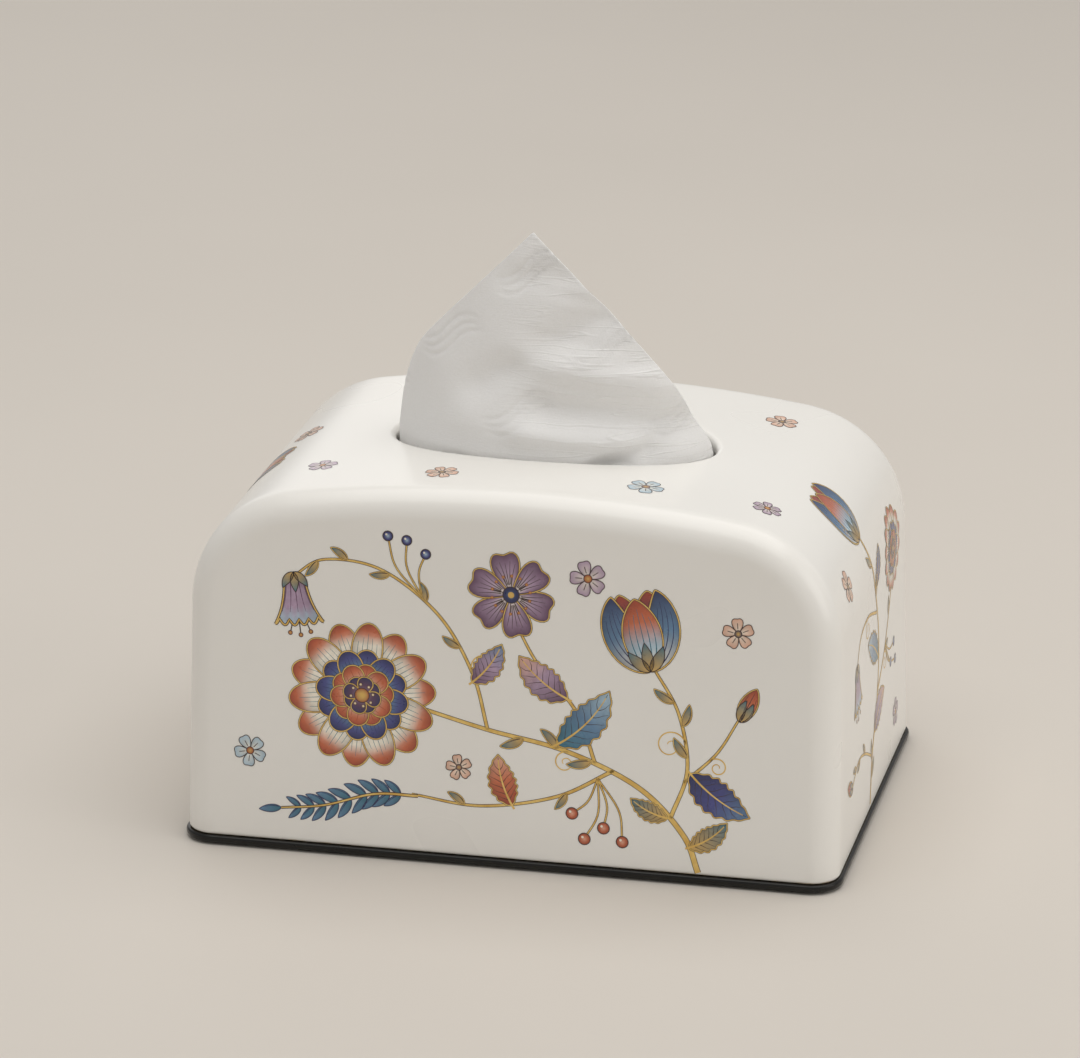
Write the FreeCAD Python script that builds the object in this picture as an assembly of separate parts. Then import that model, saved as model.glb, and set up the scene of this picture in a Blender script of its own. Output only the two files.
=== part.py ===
"""Tissue box cover: a glazed ceramic hood on a thin black base, with a pile of folded tissues under it.

Millimetres, +Z up. The origin is on the table under the middle of the cover. X runs along the long side,
and the front face looks towards -Y.
"""

import FreeCAD
import Part
import math
import os

from FreeCAD import Vector

# Hood: sizes at its rim, and from the rim up to the crown
cover_length = 208.0
cover_depth = 146.0
cover_height = 117.0
wall = 5.0
shoulder_radius = 38.0
crown_radius = 480.0
side_draft = math.radians(1.0)
face_lean = math.radians(3.0)
edge_radius = 9.0
least_inner_radius = 1.5
rim_radius = 1.2
rim_most_wall_share = 0.4

# Oval slot in the hood's top
slot_length = 103.0
slot_width = 59.0
lip_radius = 2.3
lip_most_wall_share = 0.48

# Base: a flange under the rim and an upstand inside it
flange_thickness = 2.3
flange_overhang = 1.0
flange_edge_radius = 0.9
upstand_height = 5.0
upstand_thickness = 2.0
upstand_clearance = 0.7
upstand_edge_radius = 0.6

# Feet, let into pockets under the base
foot_diameter = 16.0
foot_thickness = 1.5
foot_proud = 0.7
foot_bevel = 0.4
foot_pocket_clearance = 0.2
foot_inset_x = 27.0
foot_inset_y = 23.0

# Folded tissues
pack_end_clearance = 8.0
sheet_width = 150.0
stack_height = 38.0
fold_radius = 3.0
sheet_thickness = 0.8
sheet_gap = 0.3
crest_height = 24.0
crest_foot_length = 62.0
crest_top_length = 36.0

# Raised tissue: one corner up, leaning in towards the middle of the slot
slot_clearance = 1.2
apex_rise = 70.0
apex_offset = -5.0
apex_length_share = 0.875
apex_width_share = 0.42
left_edge_drop = 48.0
right_edge_drop = 72.0

# Flaps behind the raised tissue: shares of its half length, and of the height from its foot to its tip there
left_flap_shares = [(-1.0, 1.0), (0.3, 0.2), (-0.1, 0.0), (-1.0, 0.0)]
right_flap_shares = [(1.0, 1.0), (0.5, 0.55), (1.0, 0.1)]

# Cuts run this far past what they cut, and edges this near a level or the slot belong to it
overrun = 3.0
nearness = 0.003

# Levels
rim_z = foot_proud + flange_thickness
crown_z = rim_z + cover_height
stack_top_z = rim_z + stack_height
sheet_foot_z = stack_top_z + sheet_thickness + sheet_gap
apex_z = crown_z + apex_rise


def arch_wire(half_width, height, shoulder, crown, foot):
    """Closed arch in the XZ plane: drafted sides, round shoulders, a long crown arc and a level foot."""
    slope = math.tan(side_draft)
    crown_centre = height - crown
    reach = half_width - shoulder / math.cos(side_draft)
    a = 1 + slope**2
    b = -2 * (reach * slope + crown_centre)
    c = reach**2 + crown_centre**2 - (crown - shoulder) ** 2
    centre_z = (-b + math.sqrt(b * b - 4 * a * c)) / (2 * a)
    centre_x = reach - slope * centre_z
    top_angle = math.atan2(centre_z - crown_centre, centre_x)

    def on_shoulder(angle):
        return Vector(centre_x + shoulder * math.cos(angle), 0, centre_z + shoulder * math.sin(angle))

    def flip(point):
        return Vector(-point.x, 0, point.z)

    low = on_shoulder(side_draft)
    middle = on_shoulder((side_draft + top_angle) / 2)
    high = on_shoulder(top_angle)
    toe = Vector(half_width + slope * foot, 0, -foot)
    curves = [
        Part.LineSegment(toe, low),
        Part.Arc(low, middle, high),
        Part.Arc(high, Vector(0, 0, height), flip(high)),
        Part.Arc(flip(high), flip(middle), flip(low)),
        Part.LineSegment(flip(low), flip(toe)),
        Part.LineSegment(flip(toe), toe),
    ]
    return Part.Wire([curve.toShape() for curve in curves])


def arch_prism(inset, foot):
    """The arch drawn in by the inset, carried from front to back, with its sides run down past the rim."""
    wire = arch_wire(
        cover_length / 2 - inset,
        cover_height - inset,
        shoulder_radius - inset,
        crown_radius - inset,
        foot,
    )
    wire.translate(Vector(0, -cover_depth / 2, rim_z))
    return Part.Face(wire).extrude(Vector(0, cover_depth, 0))


def leaning_wedge(inset, foot):
    """The room between the leaning front and back faces, drawn in by the inset."""

    def half_depth(z):
        return cover_depth / 2 - inset / math.cos(face_lean) - z * math.tan(face_lean)

    low, high = -foot, cover_height + overrun
    corners = [
        (-half_depth(low), low),
        (half_depth(low), low),
        (half_depth(high), high),
        (-half_depth(high), high),
    ]
    points = [Vector(-cover_length, y, rim_z + z) for y, z in corners]
    return Part.Face(Part.makePolygon(points + points[:1])).extrude(Vector(2 * cover_length, 0, 0))


def loaf(inset, foot):
    """The hood's outer form, or with an inset the hollow in it, with round edges along both faces."""
    block = arch_prism(inset, foot).common(leaning_wedge(inset, foot)).Solids[0]
    faces = sorted(block.Faces, key=lambda face: face.CenterOfMass.y)
    above_foot = block.BoundBox.ZMin + nearness
    edges = [edge for face in (faces[0], faces[-1]) for edge in face.Edges if edge.BoundBox.ZMax > above_foot]
    return block.makeFillet(max(edge_radius - inset, least_inner_radius), edges).Solids[0]


def oval_face(half_length, half_width, z):
    """A level oval, centred on the Z axis."""
    ellipse = Part.Ellipse(Vector(0, 0, z), half_length, half_width)
    return Part.Face(Part.Wire(ellipse.toShape()))


def rounded_plate(length, depth, corner, z, thickness):
    """A level plate with round corners, centred on the Z axis, standing on z."""
    plate = Part.makeBox(length, depth, thickness, Vector(-length / 2, -depth / 2, z))
    upright = [edge for edge in plate.Edges if edge.BoundBox.ZLength > thickness / 2]
    return plate.makeFillet(corner, upright)


def level_edges(shape, z):
    """Edges that lie all along the level z."""
    return [edge for edge in shape.Edges if all(abs(point.z - z) < nearness for point in edge.discretize(3))]


def make_cover_shell():
    """Ceramic hood: the loaf less its hollow and the slot, with a rounded lip and rim."""
    shell = loaf(0, 0).cut(loaf(wall, overrun))
    bore_height = wall + shoulder_radius
    slot_foot = oval_face(slot_length / 2, slot_width / 2, crown_z - bore_height)
    shell = shell.cut(slot_foot.extrude(Vector(0, 0, bore_height + overrun)))
    shell = shell.makeFillet(min(lip_radius, wall * lip_most_wall_share), slot_edges(shell))
    shell = shell.makeFillet(min(rim_radius, wall * rim_most_wall_share), level_edges(shell, rim_z))
    return shell.Solids[0]


def slot_edges(shape):
    """Edges that run round the slot, whose points all lie on its oval."""

    def off_oval(point):
        ring = math.hypot(2 * point.x / slot_length, 2 * point.y / slot_width)
        return abs(ring - 1) * slot_width / 2

    return [edge for edge in shape.Edges if all(off_oval(point) < nearness for point in edge.discretize(5))]


def make_base_plate(foot_places):
    """Base: a flange with rounded edges, an upstand ring and pockets for the feet."""
    flange = rounded_plate(
        cover_length + 2 * flange_overhang,
        cover_depth + 2 * flange_overhang,
        edge_radius + flange_overhang,
        foot_proud,
        flange_thickness,
    )
    rounded = level_edges(flange, rim_z) + level_edges(flange, foot_proud)
    flange = flange.makeFillet(flange_edge_radius, rounded)
    inset = wall + upstand_clearance
    outer, inner = (
        rounded_plate(
            cover_length - 2 * edge,
            cover_depth - 2 * edge,
            max(edge_radius - edge, least_inner_radius),
            rim_z,
            upstand_height,
        )
        for edge in (inset, inset + upstand_thickness)
    )
    upstand = outer.cut(inner)
    upstand = upstand.makeFillet(upstand_edge_radius, level_edges(upstand, rim_z + upstand_height))
    base = flange.fuse(upstand).removeSplitter()
    pocket_radius = foot_diameter / 2 + foot_pocket_clearance
    pocket_depth = foot_thickness - foot_proud
    for place in foot_places.values():
        bottom = place + Vector(0, 0, -overrun)
        base = base.cut(Part.makeCylinder(pocket_radius, pocket_depth + foot_proud + overrun, bottom))
    return base.Solids[0]


def make_foot(place):
    """Rubber foot: a low disc with a bevel where it meets the table."""
    foot = Part.makeCylinder(foot_diameter / 2, foot_thickness, place)
    return foot.makeChamfer(foot_bevel, level_edges(foot, 0)).Solids[0]


def pack_size():
    """Length and width of a tissue folded once."""
    return cover_length - 2 * (wall + pack_end_clearance), sheet_width / 2


def make_tissue_stack():
    """Pile of folded tissues: a block whose long folded edges are round."""
    length, width = pack_size()
    block = Part.makeBox(length, width, stack_height, Vector(-length / 2, -width / 2, rim_z))
    along = [edge for edge in block.Edges if edge.BoundBox.XLength > length / 2]
    return block.makeFillet(fold_radius, along).Solids[0]


def make_next_tissue():
    """Next tissue: folded flat on the pile, with a crest drawn up from its middle."""
    length, width = pack_size()
    flat_width = width - 2 * fold_radius
    corner = Vector(-length / 2, -flat_width / 2, stack_top_z)
    flat = Part.makeBox(length, flat_width, sheet_thickness, corner)
    foot, top, height = crest_foot_length / 2, crest_top_length / 2, crest_height
    corners = [(-foot, 0), (foot, 0), (top, height), (-top, height), (-foot, 0)]
    outline = Part.makePolygon([Vector(x, -sheet_thickness / 2, stack_top_z + z) for x, z in corners])
    crest = Part.Face(outline).extrude(Vector(0, sheet_thickness, 0))
    return flat.fuse(crest).removeSplitter().Solids[0]


def sheet_tube(inset):
    """Oval tube that the raised tissue follows: upright in the slot, leaning in above it."""
    half_length = slot_length / 2 - slot_clearance
    half_width = slot_width / 2 - slot_clearance
    foot = oval_face(half_length - inset, half_width - inset, sheet_foot_z)
    neck = oval_face(half_length - inset, half_width - inset, crown_z)
    head = oval_face(half_length * apex_length_share - inset, half_width * apex_width_share - inset, apex_z)
    lower = foot.extrude(Vector(0, 0, crown_z - sheet_foot_z))
    upper = Part.makeLoft([neck.OuterWire, head.OuterWire], True, True)
    return lower.fuse(upper)


def half_prism(outline, side):
    """Upright outline in X and Z, carried towards the front (-1) or the back (1)."""
    points = [Vector(x, 0, z) for x, z in outline]
    return Part.Face(Part.makePolygon(points + points[:1])).extrude(Vector(0, side * slot_width, 0))


def make_raised_tissue():
    """Raised tissue: the front panel with its corner up, and two flaps that turn round behind it."""
    half_length = slot_length / 2 - slot_clearance
    left_tip_z = apex_z - left_edge_drop
    right_tip_z = apex_z - right_edge_drop
    front = [
        (-half_length, sheet_foot_z),
        (half_length, sheet_foot_z),
        (half_length, right_tip_z),
        (apex_offset, apex_z),
        (-half_length, left_tip_z),
    ]
    flaps = []
    for shares, tip_z in ((left_flap_shares, left_tip_z), (right_flap_shares, right_tip_z)):
        rise = tip_z - sheet_foot_z
        flaps.append(half_prism([(x * half_length, sheet_foot_z + z * rise) for x, z in shares], 1))
    tube = sheet_tube(0).cut(sheet_tube(sheet_thickness))
    return tube.common(half_prism(front, -1).fuse(flaps)).removeSplitter().Solids[0]


def foot_centres():
    """Centre of each foot on the table, by its name."""
    x = cover_length / 2 + flange_overhang - foot_inset_x
    y = cover_depth / 2 + flange_overhang - foot_inset_y
    sides = {"left": -x, "right": x}
    ends = {"front": -y, "back": y}
    return {f"foot_{end}_{side}": Vector(sides[side], ends[end], 0) for end in ends for side in sides}


def main():
    feet = foot_centres()
    parts = {
        "cover_shell": make_cover_shell(),
        "base_plate": make_base_plate(feet),
        "tissue_stack": make_tissue_stack(),
        "next_tissue": make_next_tissue(),
        "raised_tissue": make_raised_tissue(),
    }
    for name, place in feet.items():
        parts[name] = make_foot(place)
    os.makedirs("parts", exist_ok=True)
    for name, shape in parts.items():
        shape.exportStep(os.path.join("parts", name + ".step"))
        print(name, shape.ShapeType, len(shape.Solids), shape.isValid(), round(shape.Volume / 1000, 2), "cm3")


main()
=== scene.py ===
"""A tissue box cover: a printed, glazed ceramic loaf on a black base, with a tissue drawn through its top.

Lengths are in millimetres until a mesh is made, which is in metres. X runs along the cover, its front faces
-Y, and Z is up from the feet.
"""

import math
from functools import partial
from types import SimpleNamespace

import bmesh
import bpy
import numpy as np
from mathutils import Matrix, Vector


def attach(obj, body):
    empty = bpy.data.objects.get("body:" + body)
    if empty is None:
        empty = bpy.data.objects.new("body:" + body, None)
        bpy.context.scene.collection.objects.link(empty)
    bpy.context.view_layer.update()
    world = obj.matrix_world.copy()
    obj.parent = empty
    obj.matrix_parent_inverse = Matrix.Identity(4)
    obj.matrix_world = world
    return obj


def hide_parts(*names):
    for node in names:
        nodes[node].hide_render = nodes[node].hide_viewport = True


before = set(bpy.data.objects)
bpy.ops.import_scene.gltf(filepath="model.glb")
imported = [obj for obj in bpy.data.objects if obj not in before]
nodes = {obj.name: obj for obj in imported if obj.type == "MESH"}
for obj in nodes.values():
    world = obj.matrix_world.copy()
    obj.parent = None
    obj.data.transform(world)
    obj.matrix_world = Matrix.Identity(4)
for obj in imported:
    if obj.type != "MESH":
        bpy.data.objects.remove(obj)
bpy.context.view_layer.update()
scene = bpy.context.scene

# Sizes of the part's source

MM = 0.001
COVER_LENGTH = 208.0
COVER_DEPTH = 146.0
COVER_HEIGHT = 117.0
WALL = 5.0
SHOULDER = 38.0
CROWN = 480.0
DRAFT = math.radians(1)
LEAN = math.radians(3)
EDGE = 9.0
LEAST_EDGE = 1.5
RIM_Z = 3.0
RIM_ROUND = 1.2
SLOT = np.array([51.5, 29.5])
LIP = 2.3

# Counts and steps of the cover's grids

BLOCK = 60.0
ROUND_ROWS = 20
STRAIGHT_ROWS = 22
SIDE_STEPS = 12
SHOULDER_STEPS = 24
CROWN_STEPS = 5
BLOCK_STEPS = 14
FOOT_STEPS = 24
FACE_RINGS = np.array([1, 0.985, 0.96, 0.7, 0.35, 0])


# Making meshes


def quads(rows, columns):
    """The four corners of each cell of a grid of points that is stored row by row."""
    number = np.arange(rows * columns).reshape(rows, columns)
    return np.stack([number[:-1, :-1], number[:-1, 1:], number[1:, 1:], number[1:, :-1]], -1).reshape(-1, 4)


def welded(patches):
    """Joins grids of points, each with a mask of the cells to keep, or None for all of them.

    Points that fall together become one, and a cell with two joined corners becomes a triangle.
    """
    points = np.concatenate([patch.reshape(-1, 3) for patch, _ in patches])
    starts = np.cumsum([0] + [patch.shape[0] * patch.shape[1] for patch, _ in patches])
    cells = []
    for (patch, keep), start in zip(patches, starts):
        own = quads(*patch.shape[:2])
        cells.append(start + (own if keep is None else own[keep.ravel()]))
    cells = np.concatenate(cells)
    microns = np.round(points * 1000).astype(int)
    _, first, number = np.unique(microns, axis=0, return_index=True, return_inverse=True)
    cells = number.reshape(-1)[cells]
    joined = cells == np.roll(cells, -1, axis=1)
    count = joined.sum(1)
    threes = cells[count == 1][~joined[count == 1]].reshape(-1, 3)
    return points[first], cells[count == 0].tolist() + threes.tolist()


def piece(name, points, faces, material, body, outward=False):
    """A smooth piece from points in millimetres, on its CAD body; outward turns a closed one's faces out."""
    mesh = bpy.data.meshes.new(name)
    mesh.from_pydata(np.asarray(points) * MM, [], faces)
    if outward:
        work = bmesh.new()
        work.from_mesh(mesh)
        bmesh.ops.recalc_face_normals(work, faces=work.faces)
        work.to_mesh(mesh)
        work.free()
    mesh.shade_smooth()
    mesh.materials.append(material)
    thing = bpy.data.objects.new(name, mesh)
    scene.collection.objects.link(thing)
    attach(thing, body)
    return thing


# The cover's surface


def arch(behind, inset=0.0):
    """The cover's outline at a distance behind its face: leaning sides, shoulder arcs and a crown arc.

    The round of an edge draws the outline in by r - sqrt(r^2 - (r - behind)^2). A shoulder's centre is where
    an arc that touches the side from within touches the crown too, which is a quadratic in its height.
    """
    behind = np.asarray(behind, float)
    radius = max(EDGE - inset, LEAST_EDGE)
    inset = inset + radius - np.sqrt(radius**2 - np.clip(radius - behind, 0, radius) ** 2)
    half = COVER_LENGTH / 2 - inset
    shoulder = SHOULDER - inset
    crown = CROWN - inset
    middle = (COVER_HEIGHT - inset) / math.cos(LEAN) - crown
    slope = math.tan(DRAFT)
    reach = half - shoulder / math.cos(DRAFT)
    a = 1 + slope * slope
    b = -2 * (reach * slope + middle)
    c = reach**2 + middle**2 - (crown - shoulder) ** 2
    z = (-b + np.sqrt(b * b - 4 * a * c)) / (2 * a)
    x = reach - slope * z
    return SimpleNamespace(half=half, shoulder=shoulder, crown=crown, middle=middle, x=x, z=z,
                           turn=np.arctan2(z - middle, x))


def block_share(inset=0.0):
    """The share of the crown, from a shoulder to the middle, that is outside the block round the opening."""
    line = arch(EDGE, inset)
    return (np.arccos(BLOCK / line.crown) - line.turn) / (np.pi / 2 - line.turn)


def arch_point(run, behind, inset=0.0):
    """A point (x, v) of the right half of the outline.

    run climbs the side from 0 to 1, the shoulder from 1 to 2, the crown as far as the block round the opening
    from 2 to 3, and the crown to the middle from 3 to 4.
    """
    line = arch(behind, inset)
    block = block_share(inset)
    bend = DRAFT + (line.turn - DRAFT) * np.clip(run - 1, 0, 1)
    over = block * np.clip(run - 2, 0, 1) + (1 - block) * np.clip(run - 3, 0, 1)
    over = line.turn + (np.pi / 2 - line.turn) * over
    low = RIM_ROUND / math.cos(LEAN)
    foot = line.z + line.shoulder * math.sin(DRAFT)
    v_side = low + (foot - low) * np.clip(run, 0, 1)
    x_side = line.half - math.tan(DRAFT) * v_side
    x = np.where(run <= 1, x_side, line.x + line.shoulder * np.cos(bend))
    v = np.where(run <= 1, v_side, line.z + line.shoulder * np.sin(bend))
    x = np.where(run <= 2, x, line.crown * np.cos(over))
    return x, np.where(run <= 2, v, line.middle + line.crown * np.sin(over))


def on_cover(x, v, behind, face=-1, inset=0.0):
    """A point of the outline in the room: the face leans back by v sin(lean), and the back is its mirror."""
    y = face * (COVER_DEPTH / 2 - inset - behind - v * math.sin(LEAN))
    x, y, z = np.broadcast_arrays(x, y, RIM_Z + v * math.cos(LEAN))
    return np.stack([x, y, z], -1)


def crown_z(x, inset=0.0):
    """The height of the crown over x."""
    line = arch(EDGE, inset)
    return RIM_Z + math.cos(LEAN) * (line.middle + np.sqrt(line.crown**2 - x**2))


def skin(inset, angle=None):
    """One side of the cover's wall as grids, with its foot line and the opening's angles.

    The grids are both rounded ends with the straight run between them, a ring from that run to the opening,
    and both flat faces as shrinking rings.
    """
    behind = (EDGE - inset) * (1 - np.cos(np.linspace(0, np.pi / 2, ROUND_ROWS)))[:, None]
    steps = (SIDE_STEPS, SHOULDER_STEPS, CROWN_STEPS, BLOCK_STEPS)
    half = [np.linspace(k, k + 1, count, endpoint=False) for k, count in enumerate(steps)]
    half = np.concatenate(half + [[len(steps)]])
    run = np.concatenate([half, half[-2::-1]])[None, :]
    hand = np.concatenate([-np.ones(len(half)), np.ones(len(half) - 1)])
    x, v = arch_point(run, behind, inset)
    ends = [on_cover(hand * x, v, behind, face, inset) for face in (-1, 1)]
    share = np.linspace(0, 1, STRAIGHT_ROWS)[1:-1, None, None]
    straight = ends[0][-1] + (ends[1][-1] - ends[0][-1]) * share
    grid = np.concatenate([ends[0], straight, ends[1][::-1]])
    first, last = np.flatnonzero(run[0] == 3)
    top, bottom = ROUND_ROWS - 1, ROUND_ROWS + STRAIGHT_ROWS - 2
    keep = np.ones((grid.shape[0] - 1, grid.shape[1] - 1), bool)
    keep[top:bottom, first:last] = False
    loop = np.concatenate([grid[top, first:last], grid[top:bottom, last], grid[bottom, last:first:-1],
                           grid[bottom:top - 1:-1, first]])
    if angle is None:
        angle = np.arctan2(loop[:, 1] / SLOT[1], loop[:, 0] / SLOT[0])
    mouth = oval(angle, LIP)
    share = np.linspace(0, 1, 8)[:, None, None]
    ring = loop[:, :2] + (mouth - loop[:, :2]) * share
    ring = np.concatenate([ring, crown_z(ring[..., :1], inset)], -1)
    faces, foot = [], []
    for face, row in ((-1, grid[0]), (1, grid[-1][::-1])):
        low = row[-1] + (row[0] - row[-1]) * np.linspace(0, 1, FOOT_STEPS + 1)[:, None]
        rim = np.concatenate([row, low[1:]])
        heart = (row[0] + row[-1]) / 2 * 0.5 + row[len(row) // 2] * 0.5
        faces.append(heart + (rim - heart) * FACE_RINGS[:, None, None])
        foot.append(low[::-1])
    foot = np.concatenate([foot[0][:-1], grid[:-1, -1], foot[1][:-1], grid[:0:-1, 0], foot[0][:1]])
    return [(grid, keep), (ring, None)] + [(patch, None) for patch in faces], foot, angle


def oval(angle, out=0.0):
    """Points of the opening's oval in plan, moved out along its normal."""
    point = SLOT * np.stack([np.cos(angle), np.sin(angle)], -1)
    way = point / SLOT**2
    return point + out * way / np.linalg.norm(way, axis=-1, keepdims=True)


def cover_mesh():
    """The whole wall: outer and inner skin, joined by the opening's round lip and by the rim underneath."""
    outer, foot, angle = skin(0.0)
    inner, inner_foot, _ = skin(WALL, angle)
    turn = np.linspace(0, np.pi, 13)
    rings = []
    for a in turn:
        plan = oval(angle, LIP * (1 - math.sin(a)))
        if a <= np.pi / 2:
            z = crown_z(plan[:, :1]) - LIP * (1 - math.cos(a))
        else:
            z = crown_z(plan[:, :1], WALL) + LIP * (1 + math.cos(a))
        rings.append(np.concatenate([plan, z], 1))
    lip = np.stack(rings)
    across = inner_foot - foot
    across[:, 2] = 0
    across /= np.linalg.norm(across, axis=1, keepdims=True)
    down = np.array([0, 0, -RIM_ROUND])
    quarter = np.linspace(0, np.pi / 2, 6)
    rim = []
    for line, way, angles in ((foot, across, quarter), (inner_foot, -across, quarter[::-1])):
        rim += [line + way * RIM_ROUND * (1 - math.cos(a)) + down * math.sin(a) for a in angles]
    return welded(outer + inner + [(lip, None), (np.stack(rim), None)])


# Printed flowers


def tint(red, green, blue):
    """A colour from its screen numbers, 0 to 255, as light."""
    share = np.array([red, green, blue]) / 255
    return np.where(share <= 0.04045, share / 12.92, ((share + 0.055) / 1.055) ** 2.4)


CREAM = tint(246, 238, 222)
SKY = tint(176, 202, 218)
SLATE = tint(98, 134, 168)
TEAL = tint(44, 112, 132)
INDIGO = tint(70, 74, 138)
NAVY = tint(34, 40, 88)
MAUVE = tint(178, 152, 178)
PLUM = tint(98, 64, 94)
BLUSH = tint(226, 176, 150)
TERRACOTTA = tint(206, 112, 74)
RUST = tint(160, 62, 36)
OCHRE = tint(214, 172, 92)
BROWN = tint(58, 38, 32)
GILT = tint(222, 184, 96)
TAPER = (1.0, 0.3)


def fade(share, stops):
    """The colour that runs evenly through the stops as share goes from 0 to 1."""
    at = np.linspace(0, 1, len(stops))
    return np.stack([np.interp(share, at, part) for part in np.transpose(stops)], -1)


def band(line, width, colour, layer, gilt=False, ends=(1.0, 1.0)):
    """A drawn line: each point of it moved half a width to either side, the width fading between its ends."""
    way = np.gradient(line, axis=0)
    way /= np.maximum(np.linalg.norm(way, axis=1, keepdims=True), 1e-9)
    side = np.stack([-way[:, 1], way[:, 0]], 1)
    half = (width / 2 * np.linspace(*ends, len(line)))[:, None]
    grid = np.stack([line - side * half, line + side * half], 1)
    return [(grid, np.broadcast_to(colour, grid.shape[:2] + (3,)), layer, gilt)]


def gilded(line, width, layer, ends=(1.0, 1.0), edge=0.5):
    """A gold line between two fine brown ones: a wider brown band with a gold band on it."""
    wide = width + edge
    rim = tuple((np.array(ends) * width + edge) / wide)
    return band(line, wide, BROWN, layer, ends=rim) + band(line, width, GILT, layer + 1, True, ends)


def edged(rim, gold, line, vein, layer):
    """A petal's border: a gold line where gold gives it a width, or else a plain one."""
    return gilded(rim, gold, layer, edge=line) if gold else band(rim, line, vein, layer)


def smooth(points, count=40):
    """A line through the points: a Catmull-Rom cubic between each pair, read at even steps."""
    points = np.array(points, float)
    points = np.concatenate([[2 * points[0] - points[1]], points, [2 * points[-1] - points[-2]]])
    place = np.linspace(0, len(points) - 3 - 1e-9, count)
    first = place.astype(int)
    t = (place - first)[:, None]
    a, b, c, d = (points[first + k] for k in range(4))
    return b + t / 2 * (c - a + t * (2 * a - 5 * b + 4 * c - d + t * (3 * (b - c) + d - a)))


def petal(length, width, stops, turn=0.0, bend=0.0, base=0.7, tip=0.5, root=(0.0, 0.0), layer=0, veins=0,
          pairs=0, vein=BROWN, teeth=0, gold=0.0, line=0.32, rows=22):
    """A petal or leaf: lines across a midrib that bends as an arc, each as wide as s^base (1 - s)^tip allows.

    The colour runs through the stops from root to tip and darkens to the edges. veins run along the petal,
    pairs branch from its midrib, teeth notch its edges, and gold is the width of a gold border.
    """
    arc = bend if abs(bend) > 1e-6 else 1e-6
    most = (base / (base + tip)) ** base * (tip / (base + tip)) ** tip

    def at(s, t):
        heading = turn + arc * s
        half = width / 2 * s**base * np.clip(1 - s, 0, None) ** tip / most
        half = half * (1 + 0.09 * np.sin(2 * np.pi * teeth * s)) * t
        x = root[0] + length / arc * (np.sin(heading) - np.sin(turn)) - half * np.sin(heading)
        y = root[1] + length / arc * (np.cos(turn) - np.cos(heading)) + half * np.cos(heading)
        return np.stack([x, y], -1)

    s = (1 - np.cos(np.linspace(0, np.pi, rows))) / 2
    across = np.linspace(-1, 1, 7)
    shade = (1 - 0.12 * across - 0.25 * across**4)[None, :, None]
    fill = fade(s, stops)[:, None, :] * shade
    art = [(at(s[:, None], across[None, :]), fill, layer, False)]
    for t in np.linspace(-0.62, 0.62, veins):
        along = at(np.linspace(0.1, 0.86 - 0.2 * abs(t), 12), t)
        art += band(along, line * 1.3, vein, layer + 1, ends=TAPER)
    reach = np.linspace(0, 1, 6)
    for k in range(pairs):
        start = 0.1 + 0.72 * k / pairs
        for side in (-1, 1):
            branch = at(start + 0.16 * reach, 0.86 * side * reach)
            art += band(branch, line, vein, layer + 1, ends=TAPER)
    if pairs:
        art += band(at(np.linspace(0.02, 0.95, 16), 0), line * 1.6, vein, layer + 1, ends=(1.0, 0.4))
    rim = np.concatenate([at(s, 1), at(s[-2::-1], -1)])
    return art + edged(rim, gold, line, vein, layer + 2)


def lobe(length, spread, stops, turn, layer=0, notch=0.0, rays=0, line=0.32, gold=0.0):
    """A broad petal: rays from its root, each (1 - |t|^2.6)^0.45 of the length, less a notch midway."""
    t = np.sin(np.linspace(-np.pi / 2, np.pi / 2, 23))
    s = np.linspace(0, 1, 8)

    def at(s, t):
        dip = 1 - notch * np.exp(-((t / 0.3) ** 2))
        reach = s * length * np.clip(1 - np.abs(t) ** 2.6, 0, 1) ** 0.45 * dip
        angle = turn + t * spread * (0.55 + 0.45 * s)
        return np.stack([reach * np.cos(angle), reach * np.sin(angle)], -1)

    fill = fade(s, stops)[:, None, :] * (1 - 0.1 * t - 0.12 * t**4)[None, :, None]
    art = [(at(s[:, None], t[None, :]), fill, layer, False)]
    for ray in np.linspace(-0.6, 0.6, rays):
        art += band(at(np.linspace(0.25, 0.8, 8), ray), line, BROWN, layer + 1, ends=TAPER)
    return art + edged(at(np.ones_like(t), t), gold, line, BROWN, layer + 2)


def dot(x, y, radius, stops, layer, line=0.0):
    """A round spot, shaded from its middle outwards."""
    angle = np.linspace(0, 2 * np.pi, 17)
    reach = np.linspace(0, 1, 4)[:, None]
    grid = np.stack([x + radius * reach * np.cos(angle), y + radius * reach * np.sin(angle)], -1)
    art = [(grid, np.repeat(fade(reach[:, 0], stops)[:, None, :], 17, 1), layer, False)]
    return art + (band(grid[-1], line, BROWN, layer + 1) if line else [])


def placed(motif, x, y, turn=0.0, layer=0, flip=False):
    """A motif turned and moved to its place; flip mirrors it first."""
    c, s = np.cos(turn), np.sin(turn)
    mirror = -1.0 if flip else 1.0
    spin = np.array([[c, s], [-s * mirror, c * mirror]])
    return [(grid @ spin + (x, y), colour, level + layer, gilt) for grid, colour, level, gilt in motif]


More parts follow.
